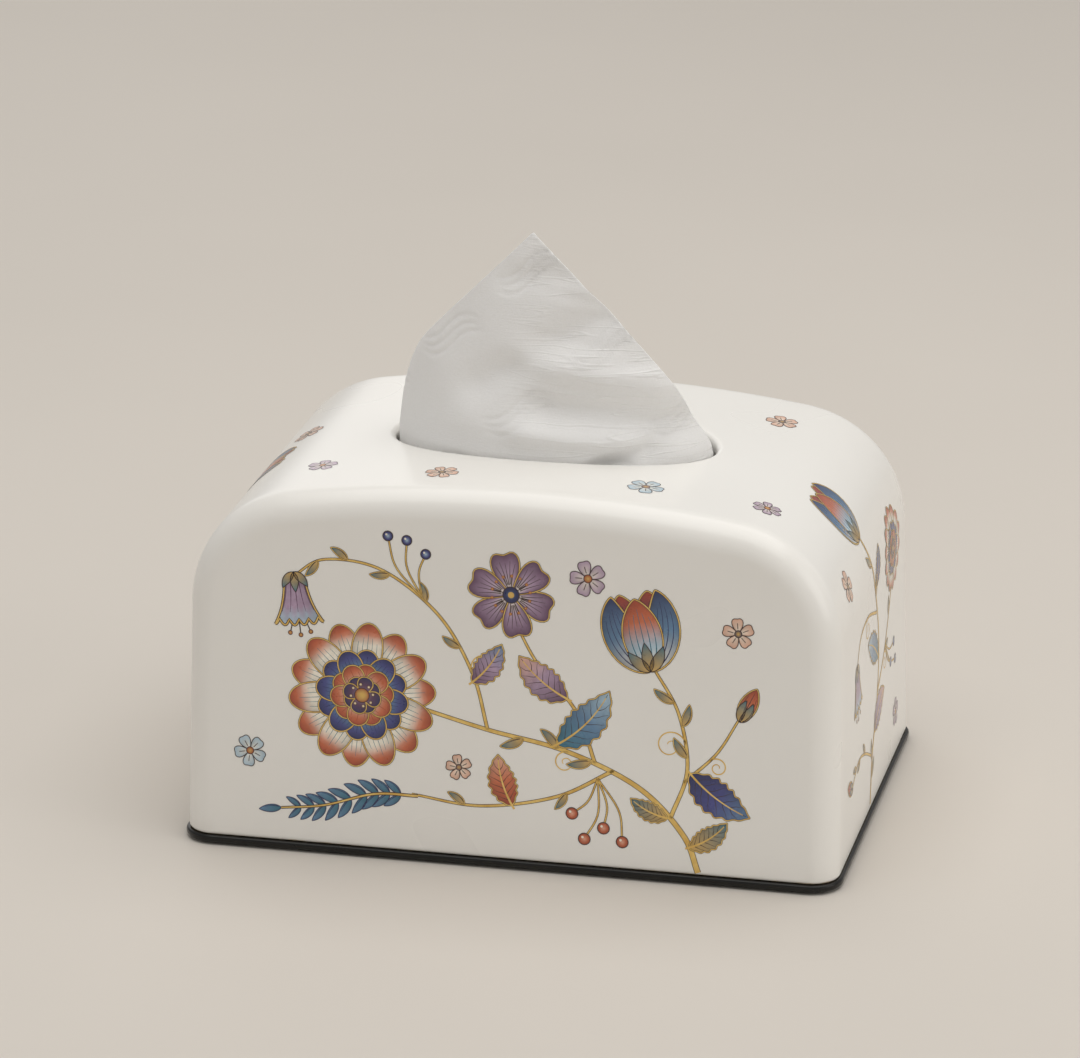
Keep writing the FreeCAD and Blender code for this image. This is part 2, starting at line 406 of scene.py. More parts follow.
def round_bloom(radius):
    """A full round bloom: rings of blunt petals, each ring shorter and darker, round a dotted heart."""
    rings = (
        (14, 1.0, 0.42, 0.52, (SLATE, SLATE, SLATE, SKY, CREAM, CREAM, TERRACOTTA, RUST), TEAL, 5, 0.34),
        (12, 0.63, 0.34, 0.5, (CREAM, CREAM, SKY, SLATE, INDIGO, NAVY), NAVY, 5, 0.34),
        (10, 0.43, 0.29, 0.5, (CREAM, CREAM, BLUSH, TERRACOTTA, RUST), RUST, 3, 0.3),
        (8, 0.26, 0.21, 0.5, (MAUVE, PLUM, NAVY), NAVY, 0, 0.26),
    )
    art = []
    for ring, (number, reach, wide, tip, stops, vein, veins, gold) in enumerate(rings):
        gold *= min(1, radius / 20)
        for k in range(number):
            turn = 2 * np.pi * (k + 0.5 * (ring % 2)) / number
            art += petal(radius * reach, radius * wide, stops, turn, base=0.9, tip=tip, veins=veins,
                         vein=vein, layer=8 * ring + 4 * (k % 2), gold=gold, line=0.26, rows=20)
    art += dot(0, 0, radius * 0.1, (GILT, OCHRE, RUST), 32, line=0.26)
    for k in range(8):
        turn = 2 * np.pi * k / 8
        x, y = radius * 0.15 * np.cos(turn), radius * 0.15 * np.sin(turn)
        art += dot(x, y, radius * 0.02, (CREAM, OCHRE), 34, 0.12)
    return art


def cup_flower(height):
    """A cup-shaped flower on its stalk: two back petals, two side petals that curl out, and one in front."""
    up = np.pi / 2
    art = []
    for side in (1, -1):
        art += petal(height * 0.95, height * 0.42, (MAUVE, PLUM, RUST), up + side * 0.3, -side * 0.25,
                     tip=0.7, veins=3, gold=0.32)
        art += petal(height, height * 0.4, (CREAM, SLATE, NAVY), up + side * 0.75, -side * 0.95, tip=0.8,
                     layer=4, veins=5, vein=NAVY, gold=0.36)
    art += petal(height * 0.86, height * 0.46, (CREAM, SKY, TERRACOTTA, RUST), up, tip=0.75, layer=8, veins=5,
                 vein=TEAL, gold=0.36)
    for turn in (-0.9, 0.0, 0.9):
        art += petal(height * 0.34, height * 0.13, (OCHRE, TEAL), up + turn, -turn * 0.5, tip=1.0, layer=12,
                     line=0.28)
    return art


def bell_flower(length):
    """A hanging bell: a body that flares as s^3 and a rim of five lobes, with a cap of small leaves."""
    s = np.linspace(0, 1, 16)[:, None]
    t = np.linspace(-1, 1, 41)[None, :]

    def at(s, t):
        half = length * (0.2 + 0.12 * s + 0.2 * s**3) * np.clip(s * 5, 0, 1) ** 0.5
        down = length * s * (1 + 0.13 * np.abs(np.sin(2.5 * np.pi * t)) - 0.05 * t**2)
        return np.stack([half * t + 0 * s, -down], -1)

    shade = (1 - 0.15 * t**2 - 0.12 * t)[0][None, :, None]
    art = [(at(s, t), fade(s[:, 0], (PLUM, MAUVE, MAUVE, SKY))[:, None, :] * shade, 4, False)]
    for stripe in np.linspace(-0.8, 0.8, 5):
        art += band(at(np.linspace(0.1, 0.85, 10), stripe), 0.4, PLUM, 5, ends=TAPER)
    art += gilded(at(1.0, t[0]), 0.45, 6)
    art += gilded(np.concatenate([at(s[::-1, 0], -1.0), at(s[:, 0], 1.0)]), 0.4, 6)
    for k, sway in enumerate((-0.22, 0.0, 0.22)):
        tip = (length * sway, -length * (1.28 + 0.06 * (k == 1)))
        art += band(smooth([(sway * 4, -length * 0.8), tip], 6), 0.35, BROWN, 1)
        art += dot(*tip, length * 0.045, (OCHRE, RUST), 2, 0.2)
    for turn in (-1.0, 0.0, 1.0):
        art += petal(length * 0.42, length * 0.17, (OCHRE, TEAL), turn - np.pi / 2, -turn * 0.6, tip=1.0,
                     layer=8, line=0.28)
    return art


def open_flower(radius, petals=6, stamens=14):
    """An open flower of broad notched petals, with a dark heart ringed by stamens."""
    art = []
    for k in range(petals):
        turn = 2 * np.pi * k / petals + np.pi / 2
        art += lobe(radius, 1.1 * np.pi / petals, (CREAM, MAUVE, PLUM), turn, 4 * (k % 2), 0.12, rays=5,
                    gold=0.3)
    for k in range(stamens):
        turn = 2 * np.pi * k / stamens
        way = np.array([np.cos(turn), np.sin(turn)])
        art += band(np.outer(np.linspace(0.15, 0.4, 4), way) * radius, 0.26, BROWN, 8)
        art += dot(*(way * radius * 0.42), radius * 0.035, (OCHRE, RUST), 9)
    art += dot(0, 0, radius * 0.18, (SLATE, NAVY, NAVY), 10, 0.3)
    return art + dot(0, 0, radius * 0.07, (GILT, OCHRE), 12)


def small_blossom(radius, stops, heart=RUST, petals=5):
    """A small blossom of round petals with a spot in the middle, drawn mostly in brown line."""
    art = []
    for k in range(petals):
        turn = 2 * np.pi * k / petals + np.pi / 2
        layer = 3 * (k % 3 if k + 1 < petals else 2)
        art += lobe(radius, np.pi / petals, stops, turn, layer, 0.08, line=0.27)
        mark = np.outer(np.linspace(0.3, 0.66, 4), (np.cos(turn), np.sin(turn)))
        art += band(mark * radius, 0.24, BROWN, 8)
    return art + dot(0, 0, radius * 0.22, (OCHRE, heart), 10, 0.26)


def fern(line, pairs, length, stops, layer):
    """A frond: pairs of leaflets along a line, longest in its middle, with a gold midrib."""
    line = smooth(line, 60)
    way = np.gradient(line, axis=0)
    heading = np.arctan2(way[:, 1], way[:, 0])
    look = {"tip": 0.9, "layer": layer, "veins": 1, "vein": NAVY, "line": 0.26, "rows": 14}
    art = []
    for k in range(pairs):
        share = 0.14 + 0.8 * k / pairs
        i = int(share * 59)
        reach = length * (0.45 + 0.9 * share - 1.05 * share**2) * 1.35
        for side in (-1, 1):
            turn = heading[i] + side * 0.85
            art += petal(reach, reach * 0.34, stops, turn, -side * 0.35, root=line[i], **look)
    art += petal(length * 0.8, length * 0.28, stops, heading[-1], root=line[-1], **look)
    return art + gilded(line, 0.7, layer + 3, ends=(1.0, 0.5))


def leaf(length, width, stops, bend):
    """A pointed leaf with branching veins, a gold border and a gold midrib."""
    art = petal(length, width, stops, 0.0, bend, base=0.75, tip=0.95, pairs=6, teeth=7, gold=0.3, line=0.26,
                rows=58)
    turn = bend * np.linspace(-0.08, 0.9, 18)
    midrib = np.stack([np.sin(turn), 1 - np.cos(turn)], 1) * length / bend
    return art + band(midrib, 0.7, GILT, 4, True, (1.0, 0.4))


def berries(stalks, root, size=1.9, stops=(BLUSH, TERRACOTTA, RUST), layer=2):
    """Round berries, each on a thin stalk that leaves one root."""
    art = []
    for x, y in stalks:
        dx, dy = x - root[0], y - root[1]
        middle = (root[0] + 0.55 * dx - 0.12 * dy, root[1] + 0.55 * dy + 0.12 * dx)
        art += gilded(smooth([root, middle, (x, y)], 14), 0.4, layer, edge=0.3)
        art += dot(x, y, size, stops, layer + 2, 0.3)
        art += dot(x - size * 0.3, y + size * 0.3, size * 0.22, (CREAM, CREAM), layer + 4)
    return art


def bud(length):
    """A closed bud between two green leaves."""
    up = np.pi / 2
    art = petal(length, length * 0.46, (CREAM, TERRACOTTA, RUST), up, tip=0.8, veins=3, gold=0.28)
    for side in (-1, 1):
        art += petal(length * 0.62, length * 0.22, (OCHRE, TEAL), up + side * 0.5, -side * 0.7, tip=1.0,
                     layer=4, veins=1, line=0.28)
    return art


def tendril(line, share, size, hand, turns=1.4):
    """A gold spiral that leaves a drawn line at a share of its length and tightens evenly to its end."""
    i = int(share * (len(line) - 1))
    way = np.gradient(line, axis=0)[i]
    angle = np.linspace(0, 2 * np.pi * turns, 50)
    reach = size * (1 - 0.82 * angle / angle[-1])
    spiral = np.stack([reach * np.cos(angle) - size, hand * reach * np.sin(angle)], 1)
    spiral = band(spiral, 0.45, GILT, 1, True, (1.0, 0.6))
    return placed(spiral, *line[i], np.arctan2(way[1], way[0]) - hand * np.pi / 2)


def leaflets(line, shares, length):
    """Small leaves along a drawn line, at shares of its length, to one side and the other by turns."""
    way = np.gradient(line, axis=0)
    art = []
    for k, share in enumerate(shares):
        i = int(share * (len(line) - 1))
        side = 1 - 2 * (k % 2)
        turn = np.arctan2(way[i, 1], way[i, 0]) + side * 0.8
        art += petal(length, length * 0.36, (OCHRE, TEAL), turn, -side * 0.5, root=line[i], tip=0.9, layer=2,
                     veins=1, gold=0.24, line=0.24, rows=14)
    return art


def stems(lines, edge):
    """Gold stems, each a drawn line with its width at the root, that thin towards their ends."""
    return sum((gilded(line, width, 0, (1.0, 0.55), edge) for line, width in lines), [])


def laid_out(places):
    """Motifs in their places, each given with its x, y, turn and layer."""
    return sum((placed(motif, x, y, turn, layer) for motif, x, y, turn, layer in places), [])


def front_spray():
    """The spray on the front: a stem that sweeps from the lower right to the full bloom, with side stems."""
    stem = smooth([(61, 1), (56, 13), (42, 27), (19, 37), (-6, 42), (-30, 48)], 70)
    cup_stem = smooth([(52, 18), (57, 34), (54, 52), (46, 66)])
    open_stem = smooth([(28, 34), (22, 50), (10, 64), (3, 76)])
    fern_stem = smooth([(34, 32), (16, 22), (-8, 17), (-30, 19)])
    bell_stem = smooth([(-6, 42), (-11, 60), (-22, 78), (-40, 91), (-58, 93), (-68, 87)], 50)
    bud_stem = smooth([(56, 30), (66, 40), (73, 52)], 24)
    art = stems(((stem, 1.7), (cup_stem, 1.1), (open_stem, 1.0), (fern_stem, 1.0), (bell_stem, 0.9),
                 (bud_stem, 0.8)), 0.36)
    art += laid_out((
        (round_bloom(23.5), -46, 50, 0.12, 6),
        (cup_flower(27), 45, 65, 0.24, 4),
        (open_flower(14.5), 1, 86, 0.2, 4),
        (bell_flower(15), -68, 88, 0.12, 2),
        (bud(12), 73, 51, -0.45, 2),
        (leaf(23, 11, (NAVY, INDIGO, SLATE), 0.5), 58, 33, -0.85, 2),
        (leaf(20, 10, (PLUM, MAUVE, BLUSH), -0.5), 19, 54, 2.7, 2),
        (leaf(25, 11, (TEAL, SLATE, SKY), 0.6), 16, 39, 0.55, 2),
        (leaf(17, 8.5, (RUST, TERRACOTTA, BLUSH), -0.5), 2, 18, 2.1, 2),
        (leaf(16, 8, (PLUM, MAUVE, SLATE), 0.5), -11, 57, 0.7, 2),
        (leaf(15, 7, (OCHRE, TEAL), 0.6), 58, 9, 0.35, 2),
        (leaf(13, 6, (OCHRE, TEAL), -0.6), 51, 18, 3.0, 2),
        (small_blossom(6, (CREAM, MAUVE)), 25, 93, 0.3, 0),
        (small_blossom(5.2, (CREAM, BLUSH), NAVY), 72, 79, 0.1, 0),
        (small_blossom(5.4, (CREAM, SKY)), -82, 29, 0.5, 0),
        (small_blossom(4.4, (CREAM, BLUSH), PLUM), -15, 29, 0.2, 0),
    ))
    art += fern([(-28, 18.5), (-42, 18), (-58, 13), (-72, 11)], 9, 9.0, (TEAL, SLATE), 2)
    art += leaflets(stem, (0.55, 0.63, 0.72), 8.0) + leaflets(cup_stem, (0.42, 0.6, 0.76), 7.5)
    art += leaflets(bell_stem, (0.3, 0.45, 0.58, 0.72, 0.85), 6.5) + leaflets(fern_stem, (0.3, 0.75), 6.5)
    art += berries([(31, 13), (37, 9), (25, 9), (21, 17)], (29, 29))
    art += berries([(-32, 101), (-38, 102), (-26, 97)], (-27, 83), 1.6, (SKY, INDIGO, NAVY))
    art += tendril(cup_stem, 0.5, 5.0, 1) + tendril(bell_stem, 0.22, 4.5, -1)
    return art + tendril(stem, 0.6, 3.6, 1) + tendril(bud_stem, 0.4, 3.2, -1)


def side_spray():
    """The spray on a side: a stem that climbs from the foot and forks to a cup, a bell and a small bloom."""
    stem = smooth([(8, 1), (4, 16), (-6, 34), (-8, 54), (2, 78), (8, 92)], 70)
    left = smooth([(-6, 34), (-20, 44), (-31, 58), (-34, 68)])
    right = smooth([(-4, 62), (12, 66), (26, 64), (33, 56)])
    low = smooth([(4, 16), (18, 22), (30, 24), (41, 20)])
    art = stems(((stem, 1.4), (left, 1.0), (right, 0.9), (low, 0.8)), 0.34)
    art += laid_out((
        (cup_flower(24), 9, 91, -0.15, 4),
        (round_bloom(14), -35, 73, 0.2, 6),
        (bell_flower(14), 33, 57, -0.15, 2),
        (bud(10), 41, 19, -1.2, 2),
        (leaf(22, 10, (TEAL, SLATE, SKY), -0.5), -7, 46, 0.75, 2),
        (leaf(21, 10, (PLUM, MAUVE, BLUSH), 0.5), 0, 23, 2.5, 2),
        (leaf(15, 7, (NAVY, INDIGO, SLATE), -0.5), -2, 71, 2.5, 2),
        (small_blossom(5.4, (CREAM, BLUSH), NAVY), 40, 86, 0.3, 0),
        (small_blossom(5.0, (CREAM, MAUVE)), -42, 14, 0.1, 0),
    ))
    art += leaflets(stem, (0.12, 0.2, 0.72, 0.84), 7.5) + leaflets(left, (0.35, 0.55, 0.75), 6.5)
    art += leaflets(low, (0.35, 0.6, 0.8), 6.0)
    art += berries([(-38, 40), (-32, 35), (-41, 33)], (-21, 45), 1.6, (SKY, INDIGO, NAVY))
    return art + tendril(right, 0.35, 4.0, -1) + tendril(left, 0.3, 3.6, 1)


def top_scatter():
    """Small blossoms spread over the top, clear of the opening."""
    places = ((-67, -36), (-26, -46), (38, -44), (76, -42), (66, 38), (12, 46), (-48, 42), (-84, 8))
    art = []
    for k, (x, y) in enumerate(places):
        tone, heart = ((MAUVE, RUST), (BLUSH, NAVY), (SKY, PLUM))[k % 3]
        art += placed(small_blossom(5.0 + 0.5 * (k % 3), (CREAM, tone), heart, 5 + k % 2), x, y, 0.4 * k)
    return art


# Laying the print on the cover

PRINT_LIFT = 0.05
PRINT_LAYER = 0.005
PRINT_STEP = 0.05
HALVINGS = 24


def on_face(p, q, face):
    """A point of the front or back over (p, q) of its plane.

    It lies as far behind the plane as the first outline that takes it in, which is found by halving.
    """
    x = np.abs(p)
    near, far = np.zeros_like(x), np.full_like(x, EDGE)
    for _ in range(HALVINGS):
        middle = (near + far) / 2
        line = arch(middle)
        angle = np.arctan2(q - line.z, x - line.x)
        side = (x - line.half) * math.cos(DRAFT) + q * math.sin(DRAFT)
        shoulder = np.hypot(x - line.x, q - line.z) - line.shoulder
        crown = np.hypot(x, q - line.middle) - line.crown
        out = np.where(angle < DRAFT, side, np.where(angle > line.turn, crown, shoulder)) > 0
        near, far = np.where(out, middle, near), np.where(out, far, middle)
    return on_cover(-face * p, q, far, face)


def outline_parts():
    """The lengths of half the full outline's crown, its shoulder and its side."""
    line = arch(EDGE)
    return line.crown * (np.pi / 2 - line.turn), line.shoulder * (line.turn - DRAFT), line.z / math.cos(DRAFT)


def on_top(p, q):
    """A point over the top: p runs along the full outline from its middle, and q from front to back."""
    block = block_share()
    crown, shoulder, side = outline_parts()
    way = np.abs(p)
    over = 1 - way / crown
    run = np.where(over >= block, 3 + (over - block) / (1 - block), 2 + over / block)
    run = np.where(way > crown, 2 - (way - crown) / shoulder, run)
    run = np.where(way > crown + shoulder, 1 - (way - crown - shoulder) / side, run)
    _, v = arch_point(run, EDGE)
    behind = np.clip(COVER_DEPTH / 2 - np.abs(q) - v * math.sin(LEAN), 0, None)
    x, v = arch_point(run, behind)
    return on_cover(np.sign(p) * x, v, behind, np.where(q < 0, -1, 1))


def on_side(p, q, hand):
    """A point of a side: p runs to the right as the side is looked at, and q is the way up from its foot."""
    return on_top(hand * (sum(outline_parts()) - q), hand * p)


def print_on(name, art, chart):
    """Lays drawn patches on the cover, with the coloured inks and the gilding as two pieces.

    Each point goes to its place on the surface, and out along the normal by a hair and its layer.
    """
    for gilt, kind, finish in ((False, "inks", enamel), (True, "gilding", gilding)):
        flat, colours, levels, cells, start = [], [], [], [], 0
        for grid, colour, level, _ in (patch for patch in art if patch[3] == gilt):
            flat.append(grid.reshape(-1, 2))
            colours.append(colour.reshape(-1, 3))
            levels.append(np.full(len(flat[-1]), level))
            own = quads(*grid.shape[:2])
            a, b, c, d = (flat[-1][own[:, k]] for k in range(4))
            area = np.sum((c - a)[:, 0] * (d - b)[:, 1] - (c - a)[:, 1] * (d - b)[:, 0])
            cells.append(start + (own if area > 0 else own[:, ::-1]))
            start += len(flat[-1])
        if not flat:
            continue
        p, q = np.concatenate(flat).T
        at = chart(p, q)
        normal = np.cross(chart(p + PRINT_STEP, q) - at, chart(p, q + PRINT_STEP) - at)
        normal /= np.linalg.norm(normal, axis=1, keepdims=True)
        points = at + normal * (PRINT_LIFT + PRINT_LAYER * np.concatenate(levels))[:, None]
        faces = np.concatenate(cells).tolist()
        thing = piece(f"{name}_{kind}", points, faces, finish, "cover")
        ink = np.ones((len(points), 4), np.float32)
        ink[:, :3] = np.concatenate(colours)
        thing.data.color_attributes.new("ink", "FLOAT_COLOR", "POINT").data.foreach_set("color", ink.ravel())
        work = bmesh.new()
        work.from_mesh(thing.data)
        bmesh.ops.remove_doubles(work, verts=work.verts, dist=1e-7)
        work.to_mesh(thing.data)
        work.free()


# Finishes


def new_material(name, **plain):
    """A material with one Principled shader, given the numbers that are the same all over."""
    material = bpy.data.materials.new(name)
    material.use_nodes = True
    tree = material.node_tree
    shader = tree.nodes["Principled BSDF"]
    for socket, value in plain.items():
        shader.inputs[socket.replace("_", " ")].default_value = value
    return material, tree, shader


def add(tree, kind, links=(), **settings):
    """A shader node with its settings; links give each input a number or another node's output."""
    node = tree.nodes.new("ShaderNode" + kind)
    for name, value in settings.items():
        setattr(node, name, value)
    for name, value in dict(links).items():
        if isinstance(value, bpy.types.NodeSocket):
            tree.links.new(value, node.inputs[name])
        else:
            node.inputs[name].default_value = value
    return node


def grain_group():
    """Unevenness shared by the hard finishes: noise of a size, spread between a low and a high value."""
    group = bpy.data.node_groups.new("grain", "ShaderNodeTree")
    for name, value in (("Scale", 100.0), ("Low", 0.0), ("High", 1.0), ("Detail", 3.0)):
        group.interface.new_socket(name, in_out="INPUT", socket_type="NodeSocketFloat").default_value = value
    for name in ("Value", "Noise"):
        group.interface.new_socket(name, in_out="OUTPUT", socket_type="NodeSocketFloat")
    into, out = group.nodes.new("NodeGroupInput"), group.nodes.new("NodeGroupOutput")
    place = add(group, "TexCoord")
    noise = add(group, "TexNoise", {"Vector": place.outputs["Object"], "Scale": into.outputs["Scale"],
                                    "Detail": into.outputs["Detail"]})
    ranged = add(group, "MapRange", {"Value": noise.outputs["Fac"], "From Min": 0.25, "From Max": 0.75,
                                     "To Min": into.outputs["Low"], "To Max": into.outputs["High"]})
    group.links.new(ranged.outputs["Result"], out.inputs["Value"])
    group.links.new(noise.outputs["Fac"], out.inputs["Noise"])
    return group


grain = grain_group()


def grain_node(tree, scale, low=0.0, high=1.0, detail=3.0):
    """The shared grain with its numbers: lumps of 1 / scale metres, spread between low and high."""
    numbers = {"Scale": scale, "Low": low, "High": high, "Detail": detail}
    return add(tree, "Group", numbers, node_tree=grain)


def bumped(tree, shader, height, strength, distance):
    """Bends the shader's normals by a height."""
    bump = add(tree, "Bump", {"Height": height, "Strength": strength, "Distance": distance})
    tree.links.new(bump.outputs["Normal"], shader.inputs["Normal"])


def mixed(tree, share, a, b):
    """A colour between a and b by share."""
    mix = add(tree, "Mix", data_type="RGBA")
    tree.links.new(share, mix.inputs["Factor"])
    for socket, value in ((mix.inputs[6], a), (mix.inputs[7], b)):
        if isinstance(value, bpy.types.NodeSocket):
            tree.links.new(value, socket)
        else:
            socket.default_value = (*value, 1)
    return mix.outputs[2]


def worked_out(tree, operation, *values):
    """The result of a calculation with numbers and other nodes' outputs."""
    return add(tree, "Math", dict(enumerate(values)), operation=operation).outputs[0]


def toned(tree, shader, grain_numbers, low, high):
    """Gives the shader a colour between two by grain, and returns the grain."""
    cloud = grain_node(tree, *grain_numbers)
    tree.links.new(mixed(tree, cloud.outputs["Value"], low, high), shader.inputs["Base Color"])
    return cloud


def roughened(tree, shader, *grain_numbers):
    """Gives the shader a roughness by grain."""
    tree.links.new(grain_node(tree, *grain_numbers).outputs["Value"], shader.inputs["Roughness"])


def glaze_finish():
    """White glaze, a little warm and uneven, over clay that shows bare at the rim."""
    material, tree, shader = new_material("ivory_glaze", Coat_Weight=0.35, Coat_Roughness=0.16, IOR=1.5)
    cloud = grain_node(tree, 9.0, detail=2.0)
    tone = mixed(tree, cloud.outputs["Value"], tint(243, 240, 234), tint(247, 245, 240))
    place = add(tree, "TexCoord")
    height = add(tree, "SeparateXYZ", {"Vector": place.outputs["Object"]})
    wander = grain_node(tree, 160.0, 0.0031, 0.0037, 2.0)
    bare = worked_out(tree, "LESS_THAN", height.outputs["Z"], wander.outputs["Value"])
    tone = mixed(tree, bare, tone, tint(214, 196, 170))
    tree.links.new(tone, shader.inputs["Base Color"])
    rough = grain_node(tree, 20.0, 0.26, 0.32, 1.0)
    dull = worked_out(tree, "MULTIPLY_ADD", bare, 0.6, rough.outputs["Value"])
    tree.links.new(dull, shader.inputs["Roughness"])
    return material


def enamel_finish():
    """Printed colours under the same gloss, a little uneven as fired inks are."""
    material, tree, shader = new_material("fired_inks", Coat_Weight=0.45, Coat_Roughness=0.1, IOR=1.5)
    ink = add(tree, "VertexColor", layer_name="ink")
    wash = grain_node(tree, 420.0, 0.86, 1.1, 4.0)
    tone = add(tree, "VectorMath", {0: ink.outputs["Color"]}, operation="SCALE")
    tree.links.new(wash.outputs["Value"], tone.inputs["Scale"])
    tree.links.new(tone.outputs[0], shader.inputs["Base Color"])
    roughened(tree, shader, 300.0, 0.24, 0.36)
    return material


def gilding_finish():
    """Gold line, brushed on: its colour and shine change along it."""
    material, tree, shader = new_material("gilt_line", Metallic=0.4, Coat_Weight=0.2, Coat_Roughness=0.15)
    toned(tree, shader, (300.0, 0.0, 1.0, 4.0), tint(214, 170, 82), tint(246, 214, 132))
    roughened(tree, shader, 500.0, 0.28, 0.5)
    return material


def base_finish():
    """Glossy black plastic with the faint dulling of handling."""
    material, tree, shader = new_material("gloss_black", Specular_IOR_Level=0.35)
    toned(tree, shader, (60.0, 0.0, 1.0, 4.0), (0.006, 0.0055, 0.005), (0.011, 0.01, 0.009))
    roughened(tree, shader, 90.0, 0.14, 0.3, 4.0)
    fine = grain_node(tree, 900.0, detail=2.0)
    bumped(tree, shader, fine.outputs["Noise"], 0.05, 0.0002)
    return material


def rubber_finish():
    """Dull grey rubber with a fine grain."""
    material, tree, shader = new_material("foot_rubber")
    worn = toned(tree, shader, (700.0, 0.0, 1.0, 4.0), (0.028, 0.028, 0.029), (0.05, 0.05, 0.05))
    roughened(tree, shader, 500.0, 0.68, 0.9)
    bumped(tree, shader, worn.outputs["Noise"], 0.3, 0.0003)
    return material


def paper_finish():
    """Soft white tissue: fine crepe lines over a fibre grain, with longer creases where it is drawn tight.

    The long creases lie where a drawn-out noise crosses its middle value. They show on the right of the sheet
    and above the pile. A little light comes through the sheet.
    """
    material, tree, shader = new_material("tissue_paper", Roughness=0.9, Sheen_Weight=0.3)
    fibre = toned(tree, shader, (1500.0,), tint(249, 248, 246), tint(253, 252, 251))
    flat = add(tree, "UVMap", uv_map="sheet").outputs["UV"]
    crepe = add(tree, "Mapping", {"Vector": flat, "Scale": (3.0, 95.0, 1.0)})
    crepe = add(tree, "TexNoise", {"Vector": crepe.outputs["Vector"], "Scale": 9.0, "Detail": 4.0})
    height = worked_out(tree, "MULTIPLY_ADD", fibre.outputs["Noise"], 0.35, crepe.outputs["Fac"])
    long = add(tree, "Mapping", {"Vector": flat, "Scale": (2.2, 26.0, 1.0)})
    long = add(tree, "TexNoise", {"Vector": long.outputs["Vector"], "Scale": 1.0, "Detail": 2.0})
    off = worked_out(tree, "ABSOLUTE", worked_out(tree, "SUBTRACT", long.outputs["Fac"], 0.5))
    drawn = add(tree, "MapRange", {"Value": off, "From Max": 0.03, "To Min": 1.0, "To Max": 0.0})
    place = add(tree, "SeparateXYZ", {"Vector": add(tree, "TexCoord").outputs["Object"]})
    right = add(tree, "MapRange", {"Value": place.outputs["X"], "From Min": -0.015, "From Max": 0.02,
                                   "To Max": 2.5})
    above = add(tree, "MapRange", {"Value": place.outputs["Z"], "From Min": 0.06, "From Max": 0.125})
    tight = worked_out(tree, "MULTIPLY", right.outputs["Result"], above.outputs["Result"])
    height = worked_out(tree, "MULTIPLY_ADD", drawn.outputs["Result"], tight, height)
    bumped(tree, shader, height, 0.3, 0.0006)
    through = add(tree, "BsdfTranslucent", {"Color": (0.93, 0.92, 0.9, 1)})
    both = add(tree, "MixShader", {"Fac": 0.07, 1: shader.outputs["BSDF"], 2: through.outputs["BSDF"]})
    tree.links.new(both.outputs["Shader"], tree.nodes["Material Output"].inputs["Surface"])
    return material


glaze, enamel, gilding = glaze_finish(), enamel_finish(), gilding_finish()
gloss_black, rubber, paper = base_finish(), rubber_finish(), paper_finish()


# Tissues

PACK_HALF_LENGTH = 91.0
STACK_TOP = 41.0
SHEET_FOOT = 42.1
APEX = (-5.0, 188.3)
LEFT_TIP = 140.1
RIGHT_TIP = 117.4
EDGE_OVAL = np.array([47.0, 20.0])
TUBE = np.array([50.3, 28.3])
TUBE_TOP = np.array([44.0, 11.9])
CROWN_Z = 120.0
FADE = 8.0
FOLDS = (
    ((-4.0, 150.0), (34.0, 143.5), 5.0, 2.6),
    ((3.0, 134.0), (44.0, 129.5), 5.5, -3.4),
    ((-4.0, 126.5), (24.0, 125.5), 5.0, 2.6),
    ((22.0, 118.5), (33.0, 121.5), 4.0, -2.8),
    ((-20.0, 141.0), (18.0, 163.0), 5.5, -3.0),
    ((-9.0, 174.0), (4.0, 175.0), 4.0, -1.1),
    ((-36.0, 148.0), (-24.0, 132.0), 9.0, 1.2),
)


def lay_flat(thing, flat):
    """Keeps the flat places of a piece's points, in decimetres, as its UV map."""
    corner = np.empty(len(thing.data.loops), int)
    thing.data.loops.foreach_get("vertex_index", corner)
    layer = thing.data.uv_layers.new(name="sheet")
    layer.uv.foreach_set("vector", (flat * 0.01)[corner].astype(np.float32).ravel())


def sheet_piece(name, grid, flat, node, body, thick):
    """A paper piece from a grid of points, with their flat places and a hair of thickness."""
    faces = quads(*grid.shape[:2]).tolist()
    thing = piece(name, grid.reshape(-1, 3), faces, paper, body)
    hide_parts(node)
    lay_flat(thing, flat.reshape(-1, 2))
    wall = thing.modifiers.new("thickness", "SOLIDIFY")
    wall.thickness = thick * MM
    wall.offset = 0
    return thing


def free_edge(angle, run):
    """The height of the sheet's upper edge at an angle round the opening's oval, 0 at its right end.

    run is the way along the oval. Each side falls from the apex in step with it, the right one faster near
    its end.
    """
    at = np.interp(np.arccos(APEX[0] / EDGE_OVAL[0]), angle, run)
    way = run - at
    right = APEX[1] + 0.88 * way - 1.45e-6 * way**4
    left = APEX[1] - 0.97 * way
    right_end, left_end = np.interp([0, np.pi], angle, run)
    right_flap = RIGHT_TIP + 1.2 * (run - right_end)
    left_flap = LEFT_TIP - 1.15 * (run - left_end)
    high = np.where(way < 0, right, left)
    return np.where(angle < 0, right_flap, np.where(angle > np.pi, left_flap, high))


def lower_edge(angle):
    """The height of the sheet's lower edge: level in front, and rising to the end of each flap behind."""
    x_share = np.cos(angle)
    right = RIGHT_TIP - SHEET_FOOT
    right_flap = SHEET_FOOT + right * (0.1 + 0.45 * (1 - x_share) / 0.5)
    left_flap = SHEET_FOOT + np.clip((x_share + 0.1) / 0.4, 0, 1) * 0.2 * (LEFT_TIP - SHEET_FOOT)
    level = SHEET_FOOT + 0.1 * right * np.clip(1 - angle / 0.5, 0, 1) ** 2
    behind = np.where(angle < np.pi / 2, right_flap, left_flap)
    return np.where(np.sin(angle) >= 0, level, behind)


